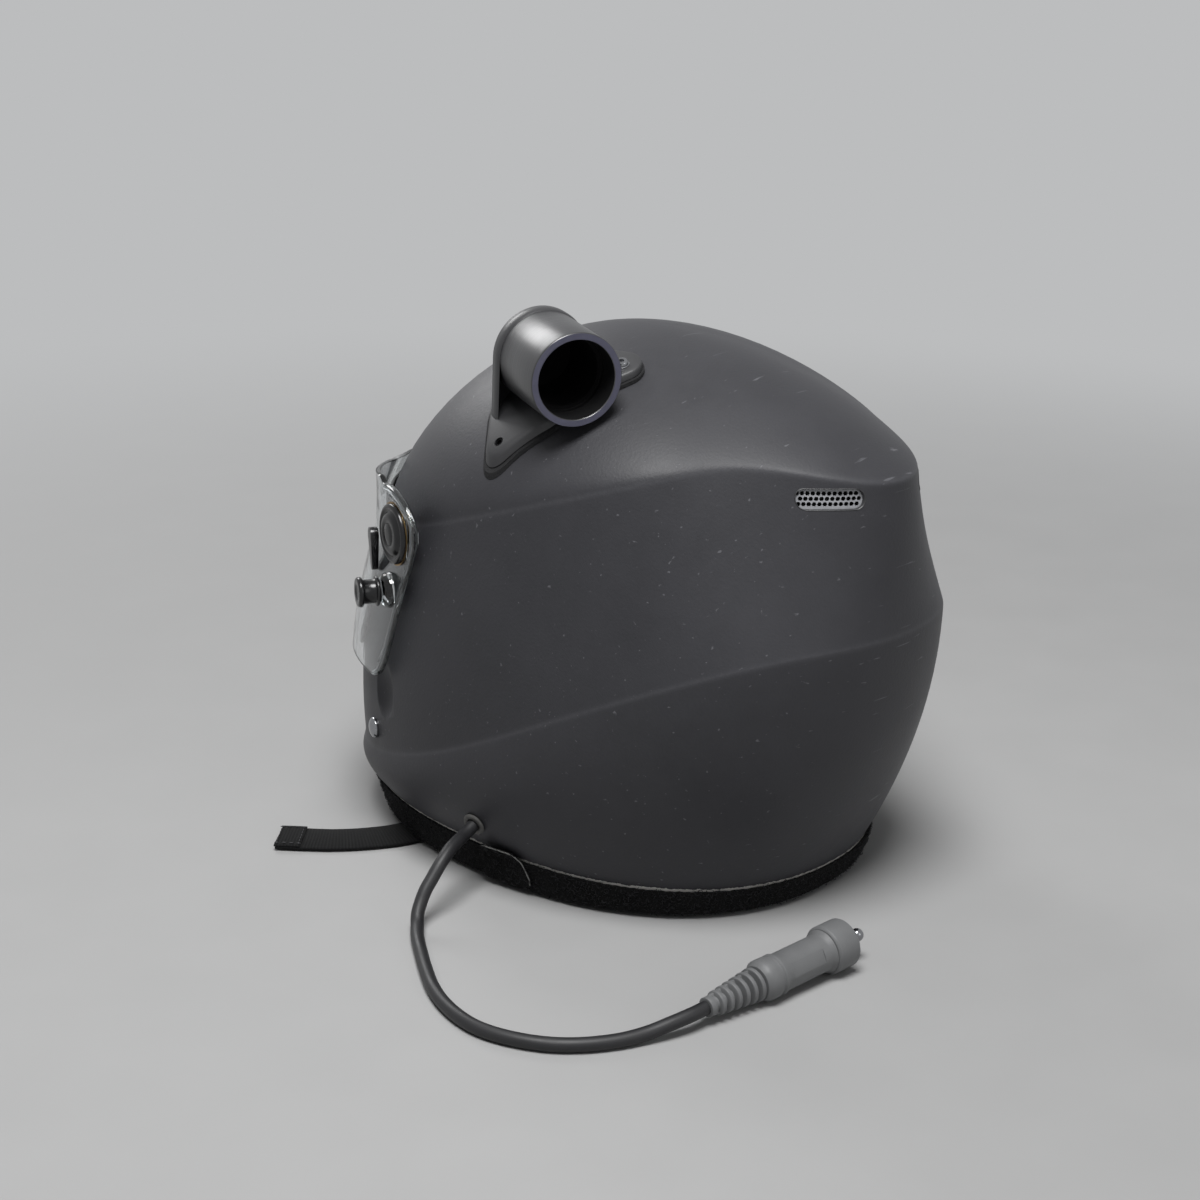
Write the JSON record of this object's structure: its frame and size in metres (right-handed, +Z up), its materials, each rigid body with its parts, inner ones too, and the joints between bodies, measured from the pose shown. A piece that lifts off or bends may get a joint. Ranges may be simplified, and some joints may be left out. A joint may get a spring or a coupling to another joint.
{
  "type": "auto racing helmet",
  "caption": "Full-face racing helmet with a hinged clear shield, side air inlet, rear vents, padded lining, chin strap and a radio lead with its plug.",
  "frame": {"origin": "on the floor under the middle of the helmet, at the centre of the neck opening", "axes": "-Y the way the wearer faces, +X the wearer's left, +Z up"},
  "size_m": [0.3612, 0.3546, 0.2882],
  "materials": {
    "shell_paint": "matte black lacquer",
    "soft_black": "black rubber",
    "loop_black": "black loop tape",
    "black_plastic": "glossy black plastic",
    "duct_plastic": "satin black plastic",
    "clear_plastic": "clear polycarbonate",
    "steel": "bright plated steel",
    "cord_rubber": "matte cable jacket",
    "plug_rubber": "grey moulded rubber",
    "foam": "black foam",
    "padding": "dark knitted fabric",
    "webbing": "black webbing"
  },
  "bodies": {
    "helmet": {"outer_shell": "shell_paint", "eyeport_gasket": "soft_black", "rim_loop_tape": "loop_black", "tape_flap": "loop_black", "vent_mesh_left": "black_plastic", "vent_mesh_right": "black_plastic", "inlet_seal": "soft_black", "inlet_cowl": "duct_plastic", "air_nozzle": "black_plastic", "inlet_screws": "black_plastic", "pivot_base_left": "black_plastic", "pivot_base_right": "black_plastic", "chin_screws": "steel", "cord_grommet": "soft_black", "radio_cord": "cord_rubber", "strain_relief": "plug_rubber", "plug_body": "plug_rubber", "plug_head": "plug_rubber", "plug_tip": "steel", "eps_liner": "foam", "comfort_liner": "padding", "chin_bar_foam": "foam", "cheek_pad_left": "padding", "cheek_pad_right": "padding", "neck_roll": "padding", "strap_anchor_left": "steel", "strap_anchor_right": "steel", "chin_strap_long": "webbing", "chin_strap_short": "webbing", "ear_speaker_left": "foam", "ear_speaker_right": "foam", "mic_boom": "black_plastic", "mic_capsule": "foam"},
    "shield": {"face_shield": "clear_plastic", "pivot_cap_left": "black_plastic", "pivot_cap_right": "black_plastic", "tearoff_post_left": "black_plastic", "tearoff_post_right": "black_plastic", "shield_lever": "black_plastic"},
    "d_ring_outer": {"d_ring_outer": "steel"},
    "d_ring_inner": {"d_ring_inner": "steel"}
  },
  "joints": [
    {"name": "shield_hinge", "type": "hinge", "parent": "helmet", "child": "shield", "pos_m": [0, -0.054, 0.172], "axis": [-1, 0, 0], "range_deg": [0, 50]},
    {"name": "d_ring_outer_swing", "type": "hinge", "parent": "helmet", "child": "d_ring_outer", "pos_m": [0.072, -0.027, 0.025], "axis": [0, -1, 0], "range_deg": [-40, 20]},
    {"name": "d_ring_inner_swing", "type": "hinge", "parent": "helmet", "child": "d_ring_inner", "pos_m": [0.065, -0.027, 0.025], "axis": [0, -1, 0], "range_deg": [-40, 20]}
  ],
  "couplings": [
    {"joint": "d_ring_inner_swing", "follows": "d_ring_outer_swing", "ratio": 1}
  ]
}
